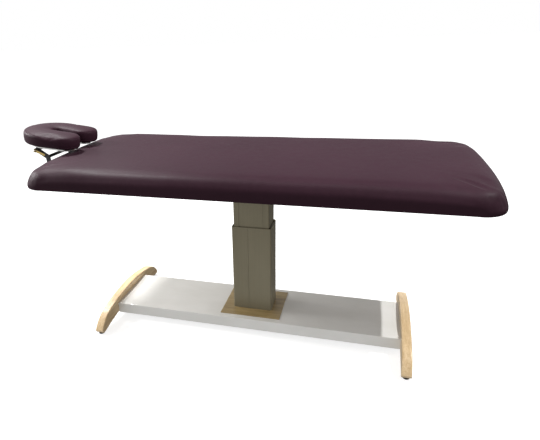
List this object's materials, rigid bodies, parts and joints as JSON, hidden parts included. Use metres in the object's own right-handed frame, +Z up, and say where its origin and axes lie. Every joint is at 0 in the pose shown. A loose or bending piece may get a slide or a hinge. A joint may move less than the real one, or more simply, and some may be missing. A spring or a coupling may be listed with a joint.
{
  "type": "electric-lift massage table",
  "caption": "Flat padded massage table on one telescopic electric column, with a low platform base on bow-shaped wooden feet and an adjustable crescent face cradle.",
  "frame": {"origin": "on the floor, under the middle of the whole object's length and width", "axes": "+Z up, the head end and face cradle towards -X, the foot end towards +X, Y across the table"},
  "size_m": [2.0534, 0.813, 0.9315],
  "materials": {
    "maple": "satin",
    "zinc_bolts": "satin",
    "black_screws": "satin",
    "rubber": "matte",
    "frame_steel": "satin",
    "white_cover": "gloss",
    "trim_wood": "satin",
    "column_coat": "satin",
    "slide_plastic": "matte",
    "drive_steel": "satin",
    "bronze": "satin",
    "cast_case": "matte",
    "motor_black": "satin",
    "plywood": "matte",
    "foam": "matte",
    "plum_vinyl": "satin",
    "box_plastic": "matte",
    "bush_plastic": "satin",
    "lead_jacket": "matte",
    "post_steel": "polished",
    "cradle_black": "satin",
    "plate_aluminium": "satin",
    "hook_tape": "matte",
    "lever_brass": "satin"
  },
  "bodies": {
    "base": {"head_foot": "maple", "tail_foot": "maple", "foot_bolts": "zinc_bolts", "floor_pads": "rubber", "floor_pad_screws": "zinc_bolts", "base_rails": "frame_steel", "base_cross_tubes": "frame_steel", "base_end_plates": "frame_steel", "platform_cover": "white_cover", "column_foot_plate": "frame_steel", "column_foot_bolts": "zinc_bolts", "outer_column": "column_coat", "outer_slide_pads": "slide_plastic", "trim_plate": "trim_wood", "nut_tube": "drive_steel", "spindle_nut": "bronze"},
    "top": {"inner_column": "column_coat", "inner_slide_pads": "slide_plastic", "head_plate": "frame_steel", "head_plate_bolts": "zinc_bolts", "gear_case": "cast_case", "gear_case_bolts": "zinc_bolts", "lift_motor": "motor_black", "spindle_bearing": "drive_steel", "frame_rails": "frame_steel", "frame_cross_tubes": "frame_steel", "deck_board": "plywood", "deck_screws": "black_screws", "table_foam": "foam", "table_cover": "plum_vinyl", "head_outlet_rail": "maple", "tail_outlet_rail": "maple", "head_outlet_bushes": "bush_plastic", "tail_outlet_bushes": "bush_plastic", "outlet_rail_screws": "black_screws", "control_box": "box_plastic", "control_box_screws": "black_screws", "mains_inlet": "box_plastic", "pedal_socket": "box_plastic", "motor_lead": "lead_jacket"},
    "spindle_body": {"spindle": "drive_steel", "spindle_gear": "drive_steel"},
    "pinion_body": {"motor_pinion": "drive_steel"},
    "cradle_frame": {"cradle_posts": "post_steel", "cradle_cross_bar": "cradle_black", "cross_bar_caps": "bush_plastic", "lower_axle": "drive_steel", "lower_cam_pin": "drive_steel"},
    "cradle_link": {"cradle_arms": "cradle_black", "arm_brace": "cradle_black", "upper_axle": "drive_steel", "upper_cam_pin": "drive_steel"},
    "face_rest": {"support_plate": "plate_aluminium", "hook_strip": "hook_tape", "tilt_lugs": "cradle_black", "face_foam": "foam", "face_cover": "plum_vinyl"},
    "lower_lever": {"lower_cam_lever": "lever_brass"},
    "upper_lever": {"upper_cam_lever": "lever_brass"}
  },
  "joints": [
    {"name": "lift", "type": "slide", "parent": "base", "child": "top", "axis": [0, 0, 1], "range_m": [-0.209, 0.096]},
    {"name": "spindle_turn", "type": "hinge", "parent": "top", "child": "spindle_body", "pos_m": [0.11982, 0, 0.5], "axis": [0, 0, 1], "range_deg": [-6300, 2910]},
    {"name": "pinion_turn", "type": "hinge", "parent": "top", "child": "pinion_body", "pos_m": [0.06382, 0, 0.7], "axis": [0, 0, 1], "range_deg": [-8730, 18900]},
    {"name": "cradle_slide", "type": "slide", "parent": "top", "child": "cradle_frame", "axis": [-1, 0, 0], "range_m": [0, 0.08]},
    {"name": "cradle_height", "type": "hinge", "parent": "cradle_frame", "child": "cradle_link", "pos_m": [-0.87618, 0, 0.752], "axis": [0, -1, 0], "range_deg": [0, 60]},
    {"name": "face_rest_tilt", "type": "hinge", "parent": "cradle_link", "child": "face_rest", "pos_m": [-0.93318, 0, 0.831], "axis": [0, -1, 0], "range_deg": [0, 40]},
    {"name": "lower_lock", "type": "hinge", "parent": "cradle_frame", "child": "lower_lever", "pos_m": [-0.87618, 0.113, 0.752], "axis": [-0.9988, 0, 0.0499], "range_deg": [0, 90]},
    {"name": "upper_lock", "type": "hinge", "parent": "cradle_link", "child": "upper_lever", "pos_m": [-0.93318, -0.106, 0.831], "axis": [-0.361, 0, -0.9326], "range_deg": [0, 90]}
  ],
  "couplings": [
    {"joint": "spindle_turn", "follows": "lift", "rad_per_m": 523.6},
    {"joint": "pinion_turn", "follows": "lift", "rad_per_m": -1570.8}
  ]
}
